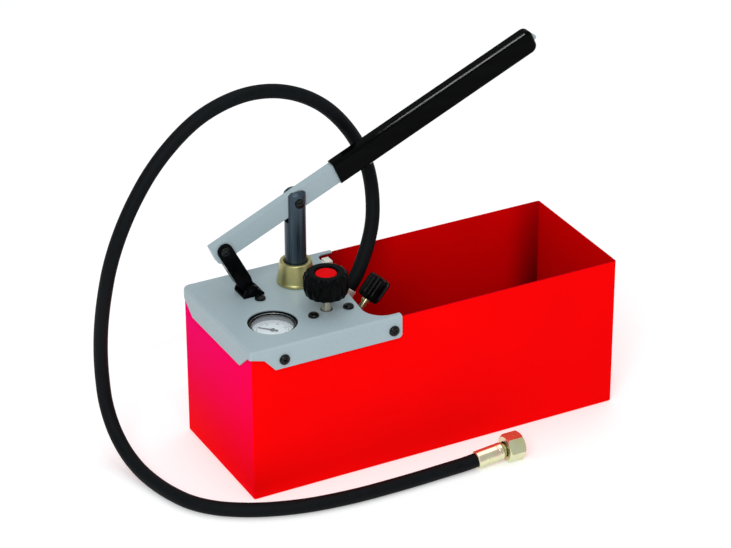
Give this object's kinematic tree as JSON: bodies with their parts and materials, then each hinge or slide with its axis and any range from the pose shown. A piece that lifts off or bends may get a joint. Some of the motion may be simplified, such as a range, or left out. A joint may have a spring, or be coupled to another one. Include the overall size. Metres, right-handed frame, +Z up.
{
  "type": "hydrostatic test pump",
  "caption": "Hand lever pressure test pump on an open steel water tank, with gauge, shut-off valve, drain valve and a rubber pressure hose ending in a union nut.",
  "frame": {"origin": "centre of the tank's underside, on the surface that the pump stands on", "axes": "+X along the tank towards its open end, +Y to the back, where the lever and plunger are, +Z up"},
  "size_m": [0.4722, 0.2109, 0.357],
  "materials": {
    "red_paint": "glossy red enamel on folded sheet steel",
    "grey_paint": "satin blue-grey powder coat",
    "black_plastic": "satin black moulded plastic",
    "gloss_black": "glossy black dipped sleeve",
    "black_steel": "black coated steel",
    "cap_red": "bright red plastic cap",
    "dark_steel": "dark slate ground steel",
    "passivated_zinc": "yellow to olive passivated surface",
    "brass": "machined brass",
    "zinc": "bright zinc plate",
    "cast_aluminium": "cast, lightly blasted",
    "bright_steel": "bright turned steel",
    "rubber": "black hose rubber with a fine cloth texture",
    "white_seal": "white sealing plastic",
    "dial_white": "white dial with printed scale arcs",
    "glass": "clear gauge window"
  },
  "bodies": {
    "base": {"tank": "red_paint", "cover_plate": "grey_paint", "flange_screw_1": "black_steel", "flange_screw_2": "black_steel", "flange_screw_3": "black_steel", "flange_screw_4": "black_steel", "flange_nut_1": "zinc", "flange_nut_2": "zinc", "flange_nut_3": "zinc", "flange_nut_4": "zinc", "body_screw_1": "black_steel", "body_screw_2": "black_steel", "body_screw_3": "black_steel", "body_screw_4": "black_steel", "pump_body": "cast_aluminium", "pump_cylinder": "brass", "foot_valve": "brass", "strainer": "black_plastic", "delivery_seat": "brass", "delivery_plug": "brass", "gland_nut": "passivated_zinc", "gland_packing": "white_seal", "link_bracket": "black_steel", "bracket_pin": "black_steel", "gauge_case": "black_plastic", "gauge_dial": "dial_white", "gauge_spacer": "zinc", "gauge_lens": "glass", "gauge_bezel": "zinc", "gauge_stem": "brass", "shutoff_packing_nut": "brass", "drain_bonnet": "brass", "hose_nipple": "zinc", "start_ferrule": "zinc", "edge_clip": "zinc", "shutoff_pad": "white_seal", "drain_pad": "white_seal", "hose": "rubber", "end_ferrule": "zinc", "end_nipple": "brass", "end_seal": "rubber"},
    "link": {"link": "black_steel", "lever_pin": "black_steel", "lever_pin_clip": "bright_steel"},
    "lever": {"lever_bar": "grey_paint", "grip": "gloss_black"},
    "plunger": {"piston_rod": "dark_steel", "rod_pin": "black_steel", "rod_pin_clip": "bright_steel"},
    "shutoff_knob": {"shutoff_knob": "black_plastic", "shutoff_spindle": "bright_steel", "knob_screw": "bright_steel", "shutoff_cap": "cap_red"},
    "drain_knob": {"drain_knob": "black_plastic", "drain_spindle": "brass"},
    "gauge_needle": {"gauge_needle": "black_steel"},
    "union_nut": {"union_nut": "passivated_zinc"},
    "foot_ball": {"foot_ball": "bright_steel"},
    "delivery_ball": {"delivery_ball": "bright_steel"}
  },
  "joints": [
    {"name": "link_swing", "type": "hinge", "parent": "base", "child": "link", "pos_m": [-0.14421, 0.031, 0.15943], "axis": [0, -1, 0], "range_deg": [-5.5, 11.3]},
    {"name": "lever_swing", "type": "hinge", "parent": "link", "child": "lever", "pos_m": [-0.16803, 0.031, 0.2052], "axis": [0, -1, 0], "range_deg": [-33, 16]},
    {"name": "plunger_slide", "type": "slide", "parent": "base", "child": "plunger", "axis": [0, 0, 1], "range_m": [-0.0353, 0.0172]},
    {"name": "shutoff_turn", "type": "hinge", "parent": "base", "child": "shutoff_knob", "pos_m": [-0.094, -0.03, 0.17], "axis": [0, 0, 1], "range_deg": [0, 720]},
    {"name": "drain_turn", "type": "hinge", "parent": "base", "child": "drain_knob", "pos_m": [-0.06514, -0.016, 0.12103], "axis": [0.6428, 0, 0.766], "range_deg": [0, 540]},
    {"name": "gauge_needle_turn", "type": "hinge", "parent": "base", "child": "gauge_needle", "pos_m": [-0.148, -0.029, 0.146], "axis": [0, 0, -1], "range_deg": [0, 270]},
    {"name": "union_spin", "type": "hinge", "parent": "base", "child": "union_nut", "pos_m": [0.0537, -0.1172, 0.0121], "axis": [1, 0, 0], "continuous": true},
    {"name": "foot_ball_lift", "type": "slide", "parent": "base", "child": "foot_ball", "axis": [0, 0, 1], "range_m": [0, 0.003]},
    {"name": "delivery_ball_lift", "type": "slide", "parent": "base", "child": "delivery_ball", "axis": [0, 0, 1], "range_m": [0, 0.003]}
  ],
  "couplings": [
    {"joint": "link_swing", "follows": "lever_swing", "ratio": -0.34},
    {"joint": "plunger_slide", "follows": "lever_swing", "m_per_rad": 0.061}
  ]
}
